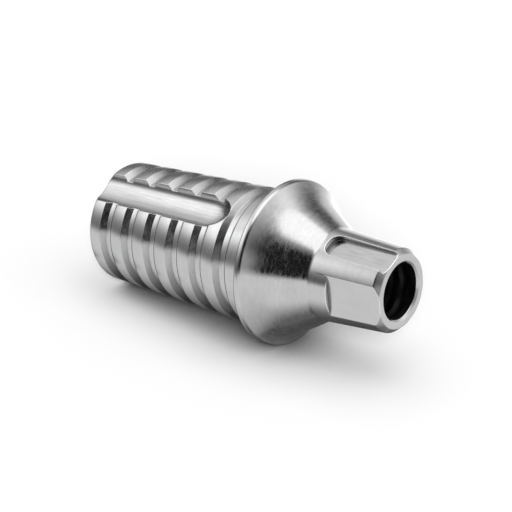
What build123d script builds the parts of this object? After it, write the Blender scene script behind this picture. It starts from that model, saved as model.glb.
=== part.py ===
"""Titanium base abutment for a dental implant, turned and milled from one bar.

The post end stands on the origin and the implant connection points up along +Z.
Angles are measured about Z from the middle of the post's cement channel, which faces +X.
Everything is in millimetres and degrees.
"""

import math
import os

from build123d import *

# Screw channel: wide for the screw's head, a conical seat, then close round the screw
access_radius = 1.20
screw_radius = 0.80
seat_deg = 45.0
seat_setback = 1.05
access_chamfer = 0.08
mouth_chamfer = 0.065

# Bonding post: a slightly tapered tube that a crown is cemented on
post_length = 6.62
post_wall = 0.72
post_taper_deg = 1.16
post_end_chamfer = 0.20
post_root_fillet = 0.10

# Retention grooves, as many as fit between the first and the last land
groove_first = 0.65
groove_pitch = 0.96
groove_width = 0.44
groove_depth = 0.15
groove_slope_deg = 45.0
groove_back_draft = 0.03
last_land_least = 0.50

# Cement channel along the post, open at the post's end and round at the other
channel_depth = 0.20
channel_foot_width = 1.02
channel_wall_deg = 12.0
channel_floor_hollow = 0.05
channel_corner_radius = 0.35
channel_end_stretch = 1.7
channel_to_shoulder = 1.14

# Shoulder and rim that the crown's margin sits on
shoulder_width = 0.42
rim_band = 0.19
rim_draft = 0.02
rim_edge_break = 0.03

# Emergence flare: a hollow curve at the rim, then a straight cone down to the neck
flare_curve_length = 0.72
flare_cone_length = 0.82
flare_cone_deg = 31.5
flare_neck_fillet = 0.25

# Conical connection that enters the implant
connection_length = 2.21
connection_taper_deg = 4.2
connection_wall = 0.23
corner_chamfer_length = 0.17
corner_chamfer_radial = 0.135

# Wide indexing flats, an opposite pair with a square end wall
wide_flat_deg = 59.0
wide_flat_depth = 0.15
wide_flat_setback = 0.60

# Narrow indexing pockets, an opposite pair with a rounded end wall
pocket_deg = -12.0
pocket_width = 0.76
pocket_depth = 0.15
pocket_tilt_deg = 2.4
pocket_corner_radius = 0.30
pocket_setback = 0.16

# How far each cutter runs past the surface that it cuts
overrun = 1.0

# Heights and radii that follow from the sizes above
rim_z = post_length + rim_band
neck_z = rim_z + flare_curve_length + flare_cone_length
total_length = neck_z + connection_length
seat_z = neck_z - seat_setback
post_end_radius = access_radius + post_wall
connection_end_radius = screw_radius + connection_wall + wide_flat_depth


def rise(run, degrees):
    """Height that a slope of this many degrees gains over a run."""
    return run * math.tan(math.radians(degrees))


def post_radius(z):
    """Radius of the post's tapered surface at height z."""
    return post_end_radius + rise(z, post_taper_deg)


def connection_radius(z):
    """Radius of the conical connection at height z, before its flats and chamfer."""
    return connection_end_radius + rise(total_length - z, connection_taper_deg)


def groove_points(z):
    """Section of a groove that starts at height z: sloped wall, floor and steep wall."""
    end = z + groove_width
    floor_start = z + rise(groove_depth, 90 - groove_slope_deg)
    floor_end = end - groove_back_draft
    return [
        (post_radius(z), z),
        (post_radius(floor_start) - groove_depth, floor_start),
        (post_radius(floor_end) - groove_depth, floor_end),
        (post_radius(end), end),
    ]


def post_points():
    """Outer points of the post, from its end face to the foot of the shoulder."""
    points = [
        (post_end_radius - post_end_chamfer, 0.0),
        (post_radius(post_end_chamfer), post_end_chamfer),
    ]
    z = groove_first
    while z + groove_width + last_land_least <= post_length:
        points += groove_points(z)
        z += groove_pitch
    return points + [(post_radius(post_length), post_length)]


def soften(section, point, radius):
    """Round the section's corner at the given point."""
    corner = section.vertices().sort_by_distance((point[0], point[1], 0))[0]
    return fillet(corner, radius)


def turned_body():
    """The outer form, turned about Z: post, rim, flare and conical connection."""
    post = post_points()
    rim_back = (post[-1][0] + shoulder_width, post_length)
    rim_front = (rim_back[0] - rim_draft, rim_z)
    neck = (connection_radius(neck_z), neck_z)
    cone_radius = neck[0] + rise(flare_cone_length, flare_cone_deg)
    cone = (cone_radius, neck_z - flare_cone_length)
    chamfer_z = total_length - corner_chamfer_length

    start = Polyline(*post, rim_back, rim_front)
    flare = TangentArc(cone, rim_front, tangent=(rise(1, flare_cone_deg), -1))
    rest = Polyline(
        cone,
        neck,
        (connection_radius(chamfer_z), chamfer_z),
        (connection_end_radius - corner_chamfer_radial, total_length),
        (0, total_length),
        (0, 0),
        post[0],
    )
    section = make_face(start + flare + rest)
    section = soften(section, neck, flare_neck_fillet)
    section = soften(section, post[-1], post_root_fillet)
    section = soften(section, rim_back, rim_edge_break)
    section = soften(section, rim_front, rim_edge_break)
    return revolve(Plane.XZ * section, Axis.Z)


def channel_section():
    """Section of the channel's cutter: X runs out from the part's axis, Y runs across."""
    foot = channel_foot_width / 2
    floor_x = post_end_radius - channel_depth
    top_x = post_radius(post_length) + overrun
    top = foot + rise(top_x - floor_x, channel_wall_deg)
    floor = ThreePointArc((floor_x, -foot), (floor_x - channel_floor_hollow, 0), (floor_x, foot))
    walls = Polyline((floor_x, foot), (top_x, top), (top_x, -top), (floor_x, -foot))
    section = make_face(floor + walls)
    for side in (foot, -foot):
        section = soften(section, (floor_x, side), channel_corner_radius)
    return section


def cement_channel():
    """Cutter for the channel: its section run along Z, then turned about X for the round end.

    The end is drawn out along the post, as a cutter leaves it that rises out of the metal.
    """
    section = channel_section()
    tip_z = post_length - channel_to_shoulder
    tip_depth = post_radius(tip_z) - post_end_radius + channel_depth
    end_radius = channel_foot_width / 2 + rise(tip_depth, channel_wall_deg)
    turn_z = tip_z - channel_end_stretch * end_radius
    run = Pos(0, 0, -overrun) * extrude(section, amount=turn_z + overrun)
    half = split(section, bisect_by=Plane.XZ, keep=Keep.BOTTOM)
    nose = scale(revolve(half, Axis.X, revolution_arc=180), by=(1, 1, channel_end_stretch))
    return run + Pos(0, 0, turn_z) * nose


def wide_flat():
    """Cutter for a wide flat: its floor follows the connection's taper, its end is square."""
    start_z = neck_z + wide_flat_setback
    end_z = total_length + overrun
    floor_x = connection_end_radius - wide_flat_depth
    outside = connection_radius(start_z) + overrun
    side = Polyline(
        (floor_x + rise(total_length - start_z, connection_taper_deg), start_z),
        (outside, start_z),
        (outside, end_z),
        (floor_x - rise(overrun, connection_taper_deg), end_z),
        close=True,
    )
    return extrude(Plane.XZ * make_face(side), amount=outside, both=True)


def narrow_pocket():
    """Cutter for a narrow pocket: a slot with rounded corners at its closed end."""
    pocket_length = connection_length - pocket_setback
    length = pocket_length + overrun
    outline = Pos(0, length / 2 - pocket_length) * Rectangle(pocket_width, length)
    slot = extrude(Plane.YZ * outline, amount=2 * overrun)
    closed_end = slot.edges().filter_by(Axis.X).group_by(Axis.Z)[0]
    slot = fillet(closed_end, min(pocket_corner_radius, 0.49 * pocket_width))
    floor_x = connection_end_radius - pocket_depth
    return Pos(floor_x, 0, total_length) * Rot(0, -pocket_tilt_deg, 0) * slot


def screw_channel():
    """Cutter for the screw's way through the part, turned about Z."""
    seat_end = seat_z + rise(access_radius - screw_radius, 90 - seat_deg)
    outside = total_length + overrun
    points = [
        (0, -overrun),
        (access_radius + access_chamfer + overrun, -overrun),
        (access_radius, access_chamfer),
        (access_radius, seat_z),
        (screw_radius, seat_end),
        (screw_radius, total_length - mouth_chamfer),
        (screw_radius + mouth_chamfer + overrun, outside),
        (0, outside),
    ]
    return revolve(Plane.XZ * make_face(Polyline(*points, close=True)), Axis.Z)


def abutment():
    """The whole part, as one solid."""
    part = turned_body() - cement_channel()
    for turn in (0, 180):
        part -= Rot(0, 0, wide_flat_deg + turn) * wide_flat()
        part -= Rot(0, 0, pocket_deg + turn) * narrow_pocket()
    return part - screw_channel()


os.makedirs("parts", exist_ok=True)
export_step(abutment().solid(), "parts/abutment.step")
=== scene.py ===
"""Looks of the dental abutment: one turned and milled piece of satin titanium on a white table.

Lengths are in millimetres and angles in degrees, in the part's own frame, until a mesh is stored.
The photographed part lies on its side, so the table is a plane that leans against the part.
"""

import math

import bpy
import numpy as np
from mathutils import Matrix, Vector


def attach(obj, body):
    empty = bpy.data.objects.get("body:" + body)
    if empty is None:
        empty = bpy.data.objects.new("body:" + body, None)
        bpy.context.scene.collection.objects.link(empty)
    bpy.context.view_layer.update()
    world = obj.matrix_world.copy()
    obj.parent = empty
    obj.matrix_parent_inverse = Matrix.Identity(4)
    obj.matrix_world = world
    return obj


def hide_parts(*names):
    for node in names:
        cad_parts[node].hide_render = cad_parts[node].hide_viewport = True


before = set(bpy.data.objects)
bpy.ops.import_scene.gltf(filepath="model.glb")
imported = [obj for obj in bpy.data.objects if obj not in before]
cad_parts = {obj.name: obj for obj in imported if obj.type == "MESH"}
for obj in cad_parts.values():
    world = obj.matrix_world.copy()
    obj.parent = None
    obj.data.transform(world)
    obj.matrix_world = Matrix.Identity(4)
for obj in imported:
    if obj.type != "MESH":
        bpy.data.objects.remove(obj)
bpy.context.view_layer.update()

MM = 0.001

# Screw channel
ACCESS_RADIUS = 1.20
SCREW_RADIUS = 0.80
SEAT_Z = 7.30
SEAT_END_Z = 7.70
ACCESS_CHAMFER = 0.08
MOUTH_CHAMFER = 0.065
MOUTH_EDGE = 0.01

# Screw thread in the bore. It deepens over the run at its start and at its end. The flanks say
# how many depths it would gain over a whole pitch.
THREAD_PITCH = 0.35
THREAD_DEPTH = 0.06
THREAD_FLANKS = 2.7
THREAD_START_Z = 8.00
THREAD_START_RUN = 0.20
THREAD_END_Z = 10.30
THREAD_END_RUN = 0.05

# Bonding post
POST_LENGTH = 6.62
POST_END_RADIUS = 1.92
POST_TAPER = 1.16
POST_END_CHAMFER = 0.20
POST_END_EDGE = 0.015
POST_SIDE_EDGE = 0.03
POST_FOOT_FILLET = 0.10

# Retention grooves, with a sloped wall that faces the connection and a steep back wall
GROOVE_FIRST = 0.65
GROOVE_PITCH = 0.96
GROOVES = 6
GROOVE_WIDTH = 0.44
GROOVE_DEPTH = 0.15
GROOVE_BACK_DRAFT = 0.03
GROOVE_EDGE = 0.03
GROOVE_BACK_EDGE = 0.10
GROOVE_FOOT = 0.02

# How fast the radius falls along the grooves' sloped walls, which tells them from other faces
SLOPED_WALL_FALL = (0.6, 1.5)

# Cement channel. Its hollow floor is a parabola, taken at a few shares of the way out to the
# rounded foot of the wall.
CHANNEL_DEPTH = 0.20
CHANNEL_FOOT = 0.51
CHANNEL_WALL = 12.0
CHANNEL_HOLLOW = 0.08
CHANNEL_FLOOR_SHARES = (0, 0.2, 0.35)
CHANNEL_CORNER = 0.38
CHANNEL_END_STRETCH = 1.7
CHANNEL_TIP_Z = 5.48

# Shoulder, rim and flare
SHOULDER_WIDTH = 0.42
RIM_BAND = 0.19
RIM_DRAFT = 0.02
RIM_BACK_EDGE = 0.055
RIM_FRONT_EDGE = 0.14
FLARE_CURVE = 0.72
FLARE_CONE = 0.82
FLARE_ANGLE = 31.5
NECK_FILLET = 0.25

# Connection
TOTAL_LENGTH = 10.56
CONNECTION_END_RADIUS = 1.18
CONNECTION_TAPER = 4.2
CORNER_CHAMFER_LENGTH = 0.17
CORNER_CHAMFER_RADIAL = 0.135
CONNECTION_SIDE_EDGE = 0.06
CONNECTION_END_EDGE = 0.015
WIDE_FLAT_AT = 59.0
WIDE_FLAT_DEPTH = 0.15
WIDE_FLAT_Z = 8.95
POCKET_AT = -12.0
POCKET_WIDTH = 0.76
POCKET_DEPTH = 0.15
POCKET_TILT = 2.4
POCKET_CORNER = 0.30
POCKET_LENGTH = 2.05

# How far each cutter runs past the surface that it cuts
OVERRUN = 1.0

# Lengths below this count as none
TINY = 1e-6

# How finely curved surfaces are divided: round the axis, in an edge break, in the channel's and
# the pockets' corners, along the flare, round the channel's end and in a turn of the thread
TURNS = 192
EDGE_STEPS = 5
CHANNEL_CORNER_STEPS = 10
POCKET_CORNER_STEPS = 12
FLARE_STEPS = 24
CHANNEL_END_STEPS = 24
THREAD_STEPS = 12

# Camera and table, in the part's frame, from the fit to the photo
CAMERA_PLACE = (25.0971, 12.4204, 27.4552)
CAMERA_RIGHT = (-0.42375, -0.49390, 0.75927)
CAMERA_UP = (0.56882, -0.79745, -0.20128)
CAMERA_LENS = 84.375
CAMERA_SENSOR = 36.0
CAMERA_CLIP = (1, 2000)
TABLE_NORMAL = Vector((0.81627, -0.57157, 0.08376)).normalized()
TABLE_HEIGHT = -1.912


def rise(run, degrees):
    """Height that a slope of this many degrees gains over a run."""
    return run * math.tan(math.radians(degrees))


def post_radius(z):
    """Radius of the post's tapered surface at height z."""
    return POST_END_RADIUS + rise(z, POST_TAPER)


def connection_radius(z):
    """Radius of the conical connection at height z."""
    return CONNECTION_END_RADIUS + rise(TOTAL_LENGTH - z, CONNECTION_TAPER)


# Sections


def rounded(corners, steps=EDGE_STEPS):
    """A line through corners of (x, y, radius), each rounded by an arc of that radius."""
    line = []
    for i, (x, y, radius) in enumerate(corners):
        here = Vector((x, y))
        if radius == 0:
            line.append(here)
            continue
        before = (Vector(corners[i - 1][:2]) - here).normalized()
        after = (Vector(corners[i + 1][:2]) - here).normalized()
        half = before.angle(after) / 2
        reach = radius / math.tan(half)
        centre = here + (before + after).normalized() * radius / math.sin(half)
        start, end = here + before * reach, here + after * reach
        turn = (start - centre).angle_signed(end - centre)
        for k in range(steps + 1):
            spoke = start - centre
            spoke.rotate(Matrix.Rotation(-turn * k / steps, 2))
            line.append(centre + spoke)
    return line


def groove_corners(z):
    """Corners of a groove that starts at height z."""
    end = z + GROOVE_WIDTH
    floor_end = end - GROOVE_BACK_DRAFT
    floor_start = z + GROOVE_DEPTH
    return [
        (post_radius(z), z, GROOVE_EDGE),
        (post_radius(floor_start) - GROOVE_DEPTH, floor_start, GROOVE_FOOT),
        (post_radius(floor_end) - GROOVE_DEPTH, floor_end, GROOVE_FOOT),
        (post_radius(end), end, GROOVE_BACK_EDGE),
    ]


def flare_curve(start, end):
    """Points of the hollow arc that leaves the straight cone at start and ends at the rim."""
    start, end = Vector(start), Vector(end)
    along = Vector((rise(1, FLARE_ANGLE), -1)).normalized()
    across = Vector((-along.y, along.x))
    chord = end - start
    centre = start + across * chord.length_squared / (2 * chord.dot(across))
    spoke = start - centre
    turn = spoke.angle_signed(end - centre)
    points = []
    for k in range(1, FLARE_STEPS):
        step = spoke.copy()
        step.rotate(Matrix.Rotation(-turn * k / FLARE_STEPS, 2))
        points.append(centre + step)
    return points


def outer_section():
    """Section of the outside, from the post's end face to the connection's end face."""
    corners = [
        (ACCESS_RADIUS + ACCESS_CHAMFER, 0, 0),
        (POST_END_RADIUS - POST_END_CHAMFER, 0, POST_END_EDGE),
        (post_radius(POST_END_CHAMFER), POST_END_CHAMFER, POST_SIDE_EDGE),
    ]
    for i in range(GROOVES):
        corners += groove_corners(GROOVE_FIRST + i * GROOVE_PITCH)
    foot = post_radius(POST_LENGTH)
    rim = foot + SHOULDER_WIDTH
    rim_z = POST_LENGTH + RIM_BAND
    neck_z = rim_z + FLARE_CURVE + FLARE_CONE
    neck = connection_radius(neck_z)
    cone_z = neck_z - FLARE_CONE
    cone = neck + rise(FLARE_CONE, FLARE_ANGLE)
    curve = flare_curve((cone, cone_z), (rim - RIM_DRAFT, rim_z))
    corners += [
        (foot, POST_LENGTH, POST_FOOT_FILLET),
        (rim, POST_LENGTH, RIM_BACK_EDGE),
        (rim - RIM_DRAFT, rim_z, RIM_FRONT_EDGE),
    ]
    corners += [(p.x, p.y, 0) for p in reversed(curve)]
    chamfer_z = TOTAL_LENGTH - CORNER_CHAMFER_LENGTH
    corners += [
        (cone, cone_z, 0),
        (neck, neck_z, NECK_FILLET),
        (connection_radius(chamfer_z), chamfer_z, CONNECTION_SIDE_EDGE),
        (CONNECTION_END_RADIUS - CORNER_CHAMFER_RADIAL, TOTAL_LENGTH, CONNECTION_END_EDGE),
        (SCREW_RADIUS + MOUTH_CHAMFER, TOTAL_LENGTH, MOUTH_EDGE),
    ]
    return corners


def inner_section():
    """Section of the inside, from the mouth down to the post's end face."""
    mouth_z = TOTAL_LENGTH - MOUTH_CHAMFER
    down = [(SCREW_RADIUS, mouth_z, 0), (SCREW_RADIUS, THREAD_END_Z, 0)]
    length = THREAD_END_Z - THREAD_START_Z
    steps = int(length / THREAD_PITCH * THREAD_STEPS)
    for k in range(1, steps):
        down.append((SCREW_RADIUS, THREAD_END_Z - length * k / steps, 0))
    return down + [
        (SCREW_RADIUS, THREAD_START_Z, 0),
        (SCREW_RADIUS, SEAT_END_Z, 0),
        (ACCESS_RADIUS, SEAT_Z, 0),
        (ACCESS_RADIUS, ACCESS_CHAMFER, 0),
    ]


def thread(z, turn):
    """How far the screw thread cuts into the bore at a height and a turn about the axis."""
    phase = np.mod(z / THREAD_PITCH + turn / (2 * np.pi), 1.0)
    tooth = np.clip(THREAD_FLANKS * (0.5 - np.abs(phase - 0.5)), 0, 1)
    start = np.clip((z - THREAD_START_Z) / THREAD_START_RUN, 0, 1)
    end = np.clip((THREAD_END_Z - z) / THREAD_END_RUN, 0, 1)
    return THREAD_DEPTH * tooth * start * end


def channel_section():
    """Half the section of the channel's cutter, from its middle: (across, out from the axis)."""
    floor_x = POST_END_RADIUS - CHANNEL_DEPTH
    top_x = post_radius(POST_LENGTH) + OVERRUN
    top = (CHANNEL_FOOT + rise(top_x - floor_x, CHANNEL_WALL), top_x, 0)
    section = []
    for share in CHANNEL_FLOOR_SHARES:
        section.append((CHANNEL_FOOT * share, floor_x - CHANNEL_HOLLOW * (1 - share**2), 0))
    section += [(CHANNEL_FOOT, floor_x, CHANNEL_CORNER), top]
    return rounded(section, CHANNEL_CORNER_STEPS)


# Meshes


def new_object(name, points, faces):
    """An object from points in millimetres."""
    mesh = bpy.data.meshes.new(name)
    mesh.from_pydata([tuple(p) for p in points], [], faces)
    made = bpy.data.objects.new(name, mesh)
    bpy.context.scene.collection.objects.link(made)
    return made


def ring_faces(rings, size, closed):
    """Faces between rings of points, all of one size. Closed joins the last to the first."""
    faces = []
    for i in range(rings if closed else rings - 1):
        here, there = i * size, (i + 1) % rings * size
        for j in range(size):
            k = (j + 1) % size
            faces.append((here + j, here + k, there + k, there + j))
    return faces


# The finishes of the turned body, in the order of its material slots
TURNED_FINISHES = ("turned", "bore", "groove")


def turned_body():
    """The whole part before milling, turned from its closed section, thread included."""
    section = rounded(outer_section() + inner_section())
    radius = np.array([p.x for p in section])[:, None]
    height = np.array([p.y for p in section])[:, None]
    turn = np.linspace(0, 2 * np.pi, TURNS, endpoint=False)[None, :]
    in_bore = np.abs(radius - SCREW_RADIUS) < TINY
    fall = (radius - np.roll(radius, -1, 0)) / np.maximum(np.roll(height, -1, 0) - height, TINY)
    least, most = SLOPED_WALL_FALL
    in_groove = (fall > least) & (fall < most) & (height < POST_LENGTH)
    finish = np.full(radius.shape, TURNED_FINISHES.index("turned"), np.int32)
    finish[in_groove] = TURNED_FINISHES.index("groove")
    finish[in_bore & np.roll(in_bore, -1, 0)] = TURNED_FINISHES.index("bore")
    radius = radius + np.where(in_bore, thread(height, turn), 0)
    places = np.broadcast_arrays(radius * np.cos(turn), radius * np.sin(turn), height)
    points = np.stack(places, -1).reshape(-1, 3)
    body = new_object("abutment_metal", points, ring_faces(len(section), TURNS, True))
    body.data.polygons.foreach_set("material_index", np.repeat(finish, TURNS))
    return body


def prism(outline, low, high):
    """A closed cutter: an outline of (x, y) run from low to high along Z."""
    count = len(outline)
    points = [(x, y, low) for x, y in outline] + [(x, y, high) for x, y in outline]
    ends = [tuple(reversed(range(count))), tuple(range(count, 2 * count))]
    return new_object("cutter", points, ends + ring_faces(2, count, False))


def channel_cutter():
    """The channel's cutter: its section run along the post, then turned for the round end."""
    half = channel_section()
    tip_depth = post_radius(CHANNEL_TIP_Z) - POST_END_RADIUS + CHANNEL_DEPTH
    turn_z = CHANNEL_TIP_Z - CHANNEL_END_STRETCH * (CHANNEL_FOOT + rise(tip_depth, CHANNEL_WALL))
    across = [-p.x for p in reversed(half[1:])] + [p.x for p in half]
    out = [p.y for p in reversed(half[1:])] + [p.y for p in half]
    count = len(across)

    # The straight run: its end face, its floor and walls, and its top
    points = [(x, y, -OVERRUN) for x, y in zip(out, across)]
    points += [(x, y, turn_z) for x, y in zip(out, across)]
    faces = [tuple(range(count))]
    faces += [(i + 1, i, count + i, count + i + 1) for i in range(count - 1)]
    faces += [(0, count - 1, 2 * count - 1, count)]

    # The round end: the half section at each step of its turn, from one side to the other. All
    # of them share the point in the middle of the floor.
    middle = count + len(half) - 1
    spokes = [list(range(middle, 2 * count))]
    for k in range(1, CHANNEL_END_STEPS):
        angle = math.pi * k / CHANNEL_END_STEPS
        spokes.append([middle])
        for p in half[1:]:
            spokes[-1].append(len(points))
            end_z = turn_z + CHANNEL_END_STRETCH * p.x * math.sin(angle)
            points.append((p.y, p.x * math.cos(angle), end_z))
    spokes.append([middle - i for i in range(len(half))])
    for a, b in zip(spokes, spokes[1:]):
        faces.append((a[1], a[0], b[1]))
        faces += [(a[i + 1], a[i], b[i], b[i + 1]) for i in range(1, len(half) - 1)]
    faces.append(tuple(spoke[-1] for spoke in spokes))
    return new_object("cutter", points, faces)


def wide_flat_cutter():
    """A wide flat's cutter: its floor follows the connection's taper, its end is square."""
    end_z = TOTAL_LENGTH + OVERRUN
    floor_x = CONNECTION_END_RADIUS - WIDE_FLAT_DEPTH
    outside = connection_radius(WIDE_FLAT_Z) + OVERRUN
    side = [
        (floor_x + rise(TOTAL_LENGTH - WIDE_FLAT_Z, CONNECTION_TAPER), -WIDE_FLAT_Z),
        (outside, -WIDE_FLAT_Z),
        (outside, -end_z),
        (floor_x - rise(OVERRUN, CONNECTION_TAPER), -end_z),
    ]
    cutter = prism(side[::-1], -outside, outside)
    cutter.data.transform(Matrix.Rotation(math.radians(-90), 4, "X"))
    return cutter


def pocket_cutter():
    """A narrow pocket's cutter: a slot with rounded corners at its closed end.

    The slot's outline is drawn across and along the part, and then stood up to face along X.
    """
    half = POCKET_WIDTH / 2
    outline = rounded(
        [
            (half, OVERRUN, 0),
            (half, -POCKET_LENGTH, POCKET_CORNER),
            (-half, -POCKET_LENGTH, POCKET_CORNER),
            (-half, OVERRUN, 0),
        ],
        POCKET_CORNER_STEPS,
    )
    cutter = prism([(p.x, p.y) for p in outline][::-1], 0, 2 * OVERRUN)
    stand = Matrix(((0, 0, 1), (1, 0, 0), (0, 1, 0))).to_4x4()
    tilt = Matrix.Rotation(math.radians(-POCKET_TILT), 4, "Y")
    place = Matrix.Translation((CONNECTION_END_RADIUS - POCKET_DEPTH, 0, TOTAL_LENGTH))
    cutter.data.transform(place @ tilt @ stand)
    return cutter


def apply_modifiers(body):
    """The body's modifiers become part of its mesh."""
    graph = bpy.context.evaluated_depsgraph_get()
    made = bpy.data.meshes.new_from_object(body.evaluated_get(graph))
    body.modifiers.clear()
    body.data = made


def cut(body, cutter, finish):
    """Takes the cutter's form out of the body. The new faces get the given finish."""
    cutter.data.materials.append(finish)
    step = body.modifiers.new("cut", "BOOLEAN")
    step.operation = "DIFFERENCE"
    step.solver = "EXACT"
    step.material_mode = "TRANSFER"
    step.object = cutter
    apply_modifiers(body)
    bpy.data.objects.remove(cutter)


def turned_to(cutter, degrees):
    """The cutter, turned about the part's axis."""
    cutter.data.transform(Matrix.Rotation(math.radians(degrees), 4, "Z"))
    return cutter


def smooth(body, crease=28):
    """Smooth shading that stays flat on the flats, with the edges above the crease kept sharp."""
    body.data.polygons.foreach_set("use_smooth", [True] * len(body.data.polygons))
    body.data.set_sharp_from_angle(angle=math.radians(crease))
    step = body.modifiers.new("weighted normals", "WEIGHTED_NORMAL")
    step.keep_sharp = True
    step.weight = 100
    apply_modifiers(body)


# Materials


class Graph:
    """Short calls for building a node tree."""

    def __init__(self, tree):
        self.tree = tree
        tree.nodes.clear()

    def node(self, kind, inputs, **settings):
        """A new node. An input is a number, a colour, or another node's output to link."""
        made = self.tree.nodes.new("ShaderNode" + kind)
        for name, value in settings.items():
            setattr(made, name, value)
        for socket, value in inputs.items():
            if isinstance(value, bpy.types.NodeSocket):
                self.tree.links.new(value, made.inputs[socket])
            else:
                made.inputs[socket].default_value = value
        return made

    def math(self, operation, *values):
        """The result of a Math node."""
        return self.node("Math", dict(enumerate(values)), operation=operation).outputs[0]

    def total(self, *values):
        """The sum of two or more values."""
        result = values[0]
        for value in values[1:]:
            result = self.math("ADD", result, value)
        return result

    def spread(self, value, low, high, to_low, to_high):
        """A value between low and high, carried smoothly to the range to_low to to_high."""
        inputs = {
            "Value": value,
            "From Min": low,
            "From Max": high,
            "To Min": to_low,
            "To Max": to_high,
        }
        return self.node("MapRange", inputs, interpolation_type="SMOOTHSTEP").outputs[0]

    def noise(self, vector, scale, detail):
        """The value of a noise texture."""
        inputs = {"Vector": vector, "Scale": scale, "Detail": detail}
        return self.node("TexNoise", inputs).outputs["Fac"]

    def open_sky(self, reach, samples, **settings):
        """The share of open sky over a point, where only forms within this reach close it."""
        inputs = {"Distance": reach * MM}
        return self.node("AmbientOcclusion", inputs, samples=samples, **settings).outputs["AO"]


def new_material(name):
    """A new material, and the graph that builds its nodes."""
    material = bpy.data.materials.new(name)
    material.use_nodes = True
    return material, Graph(material.node_tree)


# How many rays the metal and the table each cast to find what stands near them
METAL_SAMPLES = 8
TABLE_SAMPLES = 16

TITANIUM = (0.575, 0.575, 0.58)
# The grooves' sloped walls: titanium darkened by painted shade
GROOVE_PAINTED_SHADE = (0.53, 0.53, 0.535)
# The bore: nearly black, painted shade for the dark inside of the hole
BORE_PAINTED_SHADE = (0.05, 0.05, 0.05)

# The noises of the metal: how fast they change along the tool's way and across it, per
# millimetre, and their detail. The clouds change at one rate.
FINE_LINES = (6.0, 30.0, 4.0)
BROAD_LINES = (1.2, 5.0, 2.0)
SPECKS = (12.0, 40.0, 3.0)
CLOUDS = (1.1, 2.0)

# The values of a noise between which its effect grows from least to most
LINE_RANGE = (0.3, 0.7)
CLOUD_RANGE = (0.35, 0.65)

# How far the clouds swing the colour and the roughness, how far the fine lines swing the
# roughness, and what the broad lines add to the colour and to the relief beside the fine ones
CLOUD_SWING = 0.02
ROUGHNESS_SWING = 0.03
BROAD_GRAIN = 0.5
BROAD_RELIEF = 0.15

# A painted edge highlight, a lighter colour on rounded edges, starts and is full where the
# rounded normal differs from the true one by these cosines, and it shows only under this much
# open sky
HIGHLIGHT_BEND = (0.995, 0.93)
HIGHLIGHT_SKY = (0.8, 0.95)

# Painted shade in crevices: how far it looks for walls, in millimetres, the share of open sky at
# which it is darkest and at which it ends, and its darkest shade
CREVICE_SHADE = (0.12, 0.55, 0.92, 0.3)
CHANNEL_CREVICE_SHADE = (0.6, 0.74, 0.87, 0.55)

# Painted shade on the channel's walls. The channel faces +X, so the foot of its walls lies
# between these two distances from the axis, and beyond them the painted shade is the third number
CHANNEL_WALL_SHADE = (1.65, 1.71, 0.64)

# Painted shade near the table: how far the metal looks for the table, and the shares of open sky
# between which it darkens
TABLE_REACH = 4
TABLE_SKY = (0.2, 0.92)

# Turned lines: the least radius they are worked out for, and how much of the radius counts as
# height, which gives the faces square to the axis their rings. Milled lines: how much slower
# they change along their way than turned ones.
LEAST_RADIUS = 0.01
RADIUS_AS_HEIGHT = 0.7
MILLED_STRETCH = 0.2


def lines_around(graph, place, around, across):
    """Texture place whose noise runs in lines round the part's axis."""
    x, y, z = graph.node("SeparateXYZ", {0: place}).outputs
    square = graph.math("ADD", graph.math("MULTIPLY", x, x), graph.math("MULTIPLY", y, y))
    radius = graph.math("MAXIMUM", graph.math("SQRT", square), LEAST_RADIUS)
    height = graph.math("MULTIPLY_ADD", radius, RADIUS_AS_HEIGHT, z)
    inputs = {
        "X": graph.math("MULTIPLY", graph.math("DIVIDE", x, radius), around),
        "Y": graph.math("MULTIPLY", graph.math("DIVIDE", y, radius), around),
        "Z": graph.math("MULTIPLY", height, across),
    }
    return graph.node("CombineXYZ", inputs).outputs[0]


def lines_along(graph, place, along, across):
    """Texture place whose noise runs in lines along the part's axis."""
    scale = {0: place, 1: (across, across, MILLED_STRETCH * along)}
    return graph.node("VectorMath", scale, operation="MULTIPLY").outputs[0]


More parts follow.
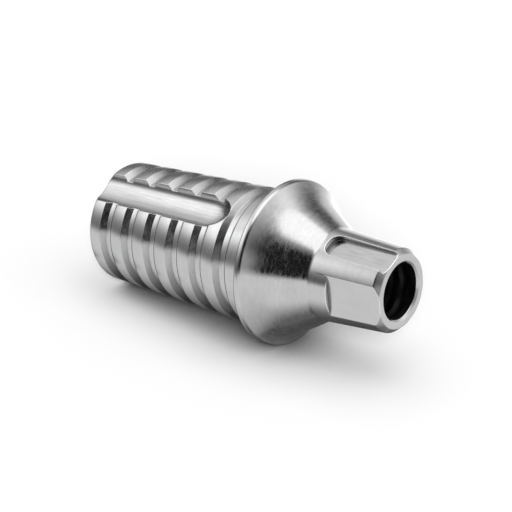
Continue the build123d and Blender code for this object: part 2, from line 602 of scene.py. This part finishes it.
def metal(
    name,
    lines,
    roughness,
    anisotropy,
    relief,
    edge,
    colour=TITANIUM,
    turn=0.25,
    edge_highlight=0.3,
    grain=0.05,
    specks=0.10,
    crevice_shade=CREVICE_SHADE,
    walls=None,
    near_table_shade=None,
):
    """Satin metal with fine tool lines, soft clouds, painted edge highlights and painted shade.

    The lines function gives the way that the tool lines run. The anisotropy draws the highlights
    out, and its turn, in full turns, says which way. The relief is the depth of the lines and the
    edge how far an edge's painted highlight reaches, both in millimetres. The strength of the
    painted edge highlight says how much lighter a rounded edge's colour is made, grain how far
    the lines swing the colour, and specks how much rougher single lines are. The painted shade
    at the foot and sides of the channel and in crevices is as the matching constants say. The
    painted shade near the table is the shade that the metal falls to where it all but touches
    the table.
    """
    material, graph = new_material(name)
    place = graph.node("TexCoord", {}).outputs["Object"]
    place = graph.node("VectorMath", {0: place, "Scale": 1 / MM}, operation="SCALE").outputs[0]
    fine, broad, speck = (
        graph.noise(lines(graph, place, along, across), 1.0, detail)
        for along, across, detail in (FINE_LINES, BROAD_LINES, SPECKS)
    )
    cloud = graph.noise(place, *CLOUDS)

    soft = graph.node("Bevel", {"Radius": edge * MM}, samples=METAL_SAMPLES).outputs[0]
    sharp = graph.node("NewGeometry", {}).outputs["Normal"]
    bend = graph.node("VectorMath", {0: soft, 1: sharp}, operation="DOT_PRODUCT").outputs["Value"]
    reach, closed, clear, darkest = crevice_shade
    sky = graph.open_sky(reach, METAL_SAMPLES, only_local=True)
    # Painted edge highlight: the colour is made lighter on rounded edges that lie open to the sky
    painted_edge_highlight = graph.math(
        "MULTIPLY",
        graph.spread(bend, *HIGHLIGHT_BEND, 0.0, edge_highlight),
        graph.spread(sky, *HIGHLIGHT_SKY, 0.0, 1.0),
    )

    shade = graph.total(
        graph.spread(fine, *LINE_RANGE, 1.0 - grain, 1.0 + grain),
        graph.spread(cloud, *CLOUD_RANGE, -CLOUD_SWING, CLOUD_SWING),
        graph.spread(broad, *LINE_RANGE, -BROAD_GRAIN * grain, BROAD_GRAIN * grain),
        painted_edge_highlight,
    )
    # Painted shade in crevices: the colour darkens where little open sky is left
    shade = graph.math("MULTIPLY", shade, graph.spread(sky, closed, clear, darkest, 1.0))
    # Painted shade at the foot and on the sides of the channel, by distance along X
    if walls:
        foot, top, dark = walls
        out = graph.node("SeparateXYZ", {0: place}).outputs["X"]
        shade = graph.math("MULTIPLY", shade, graph.spread(out, foot, top, 1.0, dark))
    # Painted shade where the metal comes near the table
    if near_table_shade:
        sky = graph.open_sky(TABLE_REACH, METAL_SAMPLES)
        shade = graph.math("MULTIPLY", shade, graph.spread(sky, *TABLE_SKY, near_table_shade, 1.0))
    tint = graph.node("VectorMath", {0: colour, "Scale": shade}, operation="SCALE").outputs[0]

    rough = graph.total(
        graph.spread(fine, *LINE_RANGE, roughness - ROUGHNESS_SWING, roughness + ROUGHNESS_SWING),
        graph.spread(cloud, *CLOUD_RANGE, -CLOUD_SWING, CLOUD_SWING),
        graph.spread(speck, *CLOUD_RANGE, 0.0, specks),
    )
    height = graph.math("MULTIPLY_ADD", broad, BROAD_RELIEF, fine)
    inputs = {"Strength": 1.0, "Distance": relief * MM, "Height": height, "Normal": soft}
    bump = graph.node("Bump", inputs).outputs[0]
    around = graph.node("Tangent", {}, direction_type="RADIAL", axis="Z").outputs[0]
    inputs = {
        "Base Color": tint,
        "Metallic": 1.0,
        "Roughness": rough,
        "Anisotropic": anisotropy,
        "Anisotropic Rotation": turn,
        "Normal": bump,
        "Tangent": around,
    }
    shader = graph.node("BsdfPrincipled", inputs)
    graph.node("OutputMaterial", {"Surface": shader.outputs[0]})
    return material


def finishes():
    """The part's materials, by the name of the finish a tool leaves, with painted shade and
    highlights.
    """
    turned = {"lines": lines_around, "anisotropy": 0.6}
    milled = {"lines": lines_along, "anisotropy": 0.3}
    flat = {**milled, "roughness": 0.16, "turn": 0.0, "edge": 0.04, "edge_highlight": 0.7}
    rows = {
        "turned": {**turned, "roughness": 0.13, "relief": 0.0004, "edge": 0.035, "edge_highlight": 0.5,
                   "grain": 0.035},
        # The bore is painted nearly black as the shade inside the hole
        "bore": {**turned, "colour": BORE_PAINTED_SHADE, "roughness": 0.4, "anisotropy": 0.3,
                 "relief": 0.0006, "edge": 0.03},
        # The grooves' sloped walls are darkened by painted shade, in their colour and near the
        # table
        "groove": {**turned, "colour": GROOVE_PAINTED_SHADE, "roughness": 0.15, "relief": 0.0005,
                   "edge": 0.02, "edge_highlight": 0.25, "near_table_shade": 0.33},
        # The channel carries painted shade in its crevices and at the foot and sides of its walls
        "channel": {**milled, "roughness": 0.14, "relief": 0.0004, "edge": 0.03, "edge_highlight": 0.25,
                    "grain": 0.10, "crevice_shade": CHANNEL_CREVICE_SHADE, "walls": CHANNEL_WALL_SHADE},
        "milled": {**flat, "relief": 0.00015, "grain": 0.06, "specks": 0.05},
        "ground": {**flat, "relief": 0.0001, "grain": 0.015, "specks": 0.03},
    }
    return {name: metal(name + "_titanium", **row) for name, row in rows.items()}


def abutment(finish):
    """The finished piece, in metres."""
    body = turned_body()
    for name in TURNED_FINISHES:
        body.data.materials.append(finish[name])
    cut(body, channel_cutter(), finish["channel"])
    for turn in (0, 180):
        cut(body, turned_to(wide_flat_cutter(), WIDE_FLAT_AT + turn), finish["ground"])
        cut(body, turned_to(pocket_cutter(), POCKET_AT + turn), finish["milled"])
    body.data.transform(Matrix.Scale(MM, 4))
    smooth(body)
    body.data.name = body.name
    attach(body, "root")
    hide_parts("abutment")


# Stage


def studio_axes():
    """Axes of the studio: X to the picture's right, Y away from the camera, Z up off the table."""
    back = Vector(CAMERA_RIGHT).cross(Vector(CAMERA_UP))
    away = (-back - (-back).dot(TABLE_NORMAL) * TABLE_NORMAL).normalized()
    right = away.cross(TABLE_NORMAL)
    return Matrix((right, away, TABLE_NORMAL)).transposed().to_4x4()


def direction(azimuth, elevation):
    """The way to a place in the studio, whose azimuth is 0 towards the camera, 90 to the right."""
    a, e = np.radians(azimuth), np.radians(elevation)
    return np.stack([np.sin(a) * np.cos(e), -np.cos(a) * np.cos(e), np.sin(e)], -1)


# How far the table looks for the part, and how its white darkens between two shares of open sky
# into a painted contact shadow
SHADOW_REACH = 3.2
SHADOW_SKY = (0.08, 0.50)
SHADOW_WHITE = (0.13, 0.96)


def table_top(size=400):
    """The white table, which lets the light and the view through from below."""
    place = studio_axes()
    place.translation = TABLE_NORMAL * TABLE_HEIGHT
    corners = [(-size, -size, 0), (size, -size, 0), (size, size, 0), (-size, size, 0)]
    top = new_object("table", [place @ Vector(c) for c in corners], [(0, 1, 2, 3)])
    top.data.transform(Matrix.Scale(MM, 4))
    material, graph = new_material("table")
    side = graph.node("NewGeometry", {}).outputs["Backfacing"]
    passed = graph.node("LightPath", {}).outputs["Transparent Depth"]
    sky = graph.open_sky(SHADOW_REACH, TABLE_SAMPLES)
    # Painted contact shadow: the table's white darkens where the part closes in the sky
    white_with_painted_shadow = graph.spread(sky, *SHADOW_SKY, *SHADOW_WHITE)
    colour = graph.node("CombineColor", {0: white_with_painted_shadow, 1: white_with_painted_shadow, 2: white_with_painted_shadow}).outputs[0]
    white = graph.node("BsdfDiffuse", {"Color": colour}).outputs[0]
    clear = graph.node("BsdfTransparent", {}).outputs[0]
    mix = graph.node("MixShader", {0: graph.math("MAXIMUM", side, passed), 1: white, 2: clear})
    graph.node("OutputMaterial", {"Surface": mix.outputs[0]})
    top.data.materials.append(material)
    top.visible_glossy = False


# What the metal mirrors, painted one over the other. Each panel has its azimuth (0 towards the
# camera, 90 to the picture's right), half width, lowest and highest edge, the softness of its
# side edges and of its lower and upper edges, and its brightness.
ROOM_BRIGHTNESS = 0.89
PANELS = [
    ("left softbox", -94, 32, 18, 49, 28, 20, 1.75),
    ("right softbox", 102, 23, 18, 69, 30, 16, 1.23),
    ("low left wall", -72, 80, -20, 17, 8, 33, 0.26),
    ("back left wall", -157, 49, -20, 31, 7, 28, 0.18),
    ("back right flag", 143, 22, 12, 57, 54, 36, 0.07),
    ("backdrop strip", 162, 13, -20, 14, 12, 22, 1.10),
    ("backdrop strip top", 155, 6, 0, 25, 10, 16, 0.90),
    ("camera side flag", -12, 47, -20, 58, 72, 24, 0.015),
    ("pale wall at the right", 40, 33, -20, 20, 22, 14, 0.50),
    ("top softbox", 0, 180, 62, 99, 0, 7, 1.70),
    ("white table", 0, 180, -99, -7, 0, 11, 0.92),
    ("table near the camera", -3, 42, -20, 1, 40, 8, 0.92),
    ("shade under the part", 0, 180, -99, -58, 0, 40, 0.11),
    ("shade behind the part", 172, 50, -75, -25, 84, 10, 0.08),
    ("shade at the front right", 23, 28, -64, -36, 22, 54, 0.60),
    ("shade at the left", -133, 27, -42, -3, 10, 6, 0.05),
    ("glow at the back right", 159, 12, -27, -10, 16, 20, 1.85),
]


def ramp(value, low, high):
    """0 below low and 1 above high, smooth between."""
    t = np.clip((value - low) / (high - low), 0, 1)
    return t * t * (3 - 2 * t)


def studio_sphere(radius=150, columns=180, rows=120, pole=89.5, least_ramp=0.01):
    """The studio that the metal mirrors, as a sphere that only reflections see.

    It stops just short of its poles, and a side edge without softness still has the least ramp.
    """
    azimuth = np.linspace(-180, 180, columns, endpoint=False)
    azimuth, elevation = np.meshgrid(azimuth, np.linspace(-pole, pole, rows))
    level = np.full(azimuth.shape, ROOM_BRIGHTNESS)
    for _, middle, half, low, high, side, edge, brightness in PANELS:
        off = np.abs((azimuth - middle + 180) % 360 - 180)
        inside = 1 - ramp(off, half - side / 2, half + side / 2 + least_ramp)
        inside = inside * ramp(elevation, low - edge / 2, low + edge / 2)
        inside = inside * (1 - ramp(elevation, high - edge / 2, high + edge / 2))
        level = level * (1 - inside) + brightness * inside
    points = radius * direction(azimuth, elevation).reshape(-1, 3)
    faces = ring_faces(rows, columns, False)
    ball = new_object("studio", points, faces)
    ball.data.transform(studio_axes())
    ball.data.transform(Matrix.Scale(MM, 4))
    ball.data.polygons.foreach_set("use_smooth", [True] * len(faces))
    glow = ball.data.attributes.new("glow", "FLOAT", "POINT")
    glow.data.foreach_set("value", level.ravel().astype(np.float32))
    material, graph = new_material("studio")
    material.cycles.emission_sampling = "NONE"
    glow = graph.node("Attribute", {}, attribute_name="glow").outputs["Fac"]
    matt = graph.node("LightPath", {}).outputs["Diffuse Depth"]
    direct = graph.math("MULTIPLY", glow, graph.math("LESS_THAN", matt, 0.5))
    emit = graph.node("Emission", {"Strength": direct}).outputs[0]
    graph.node("OutputMaterial", {"Surface": emit})
    ball.data.materials.append(material)
    ball.visible_camera = False
    ball.visible_diffuse = False
    ball.visible_shadow = False
    ball.visible_transmission = False


def white_world(diffuse=0.14):
    """A white world for what the camera and the metal see, dimmer as light on the table."""
    world = bpy.data.worlds.new("world")
    bpy.context.scene.world = world
    world.use_nodes = True
    graph = Graph(world.node_tree)
    path = graph.node("LightPath", {}).outputs
    seen = graph.math("MAXIMUM", path["Is Camera Ray"], path["Is Glossy Ray"])
    seen = graph.math("MAXIMUM", seen, path["Is Transmission Ray"])
    strength = graph.spread(seen, 0.0, 1.0, diffuse, 1.0)
    back = graph.node("Background", {"Color": (1, 1, 1, 1), "Strength": strength}).outputs[0]
    graph.node("OutputWorld", {"Surface": back})


# The lamps: azimuth and elevation in the studio, width and brightness
LAMPS = {
    "top": (0, 90, 60, 0.33),
    "right": (60, 50, 50, 0.12),
    "front": (0, 27, 22, 0.465),
}


def lamp(name, azimuth, elevation, width, brightness):
    """A far softbox that lights the table and isn't mirrored. Its width is an angle.

    The brightness is what it alone gives to a white table.
    """
    data = bpy.data.lights.new(name, "SUN")
    data.angle = math.radians(width)
    data.energy = brightness * math.pi / math.sin(math.radians(elevation))
    box = bpy.data.objects.new(name, data)
    out = studio_axes().to_3x3() @ Vector(direction(azimuth, elevation))
    box.rotation_euler = out.to_track_quat("Z", "Y").to_euler()
    box.visible_glossy = False
    bpy.context.scene.collection.objects.link(box)


def camera():
    """The camera, where the fit to the photo puts it."""
    data = bpy.data.cameras.new("camera")
    data.lens = CAMERA_LENS
    data.sensor_width = CAMERA_SENSOR
    data.clip_start, data.clip_end = (distance * MM for distance in CAMERA_CLIP)
    view = bpy.data.objects.new("camera", data)
    right, up = Vector(CAMERA_RIGHT), Vector(CAMERA_UP)
    turn = Matrix((right, up, right.cross(up))).transposed().to_4x4()
    view.matrix_world = Matrix.Translation(Vector(CAMERA_PLACE) * MM) @ turn
    bpy.context.scene.collection.objects.link(view)
    bpy.context.scene.camera = view


abutment(finishes())
table_top()
studio_sphere()
white_world()
for name, settings in LAMPS.items():
    lamp(name, *settings)
camera()
bpy.context.scene.view_settings.view_transform = "Standard"
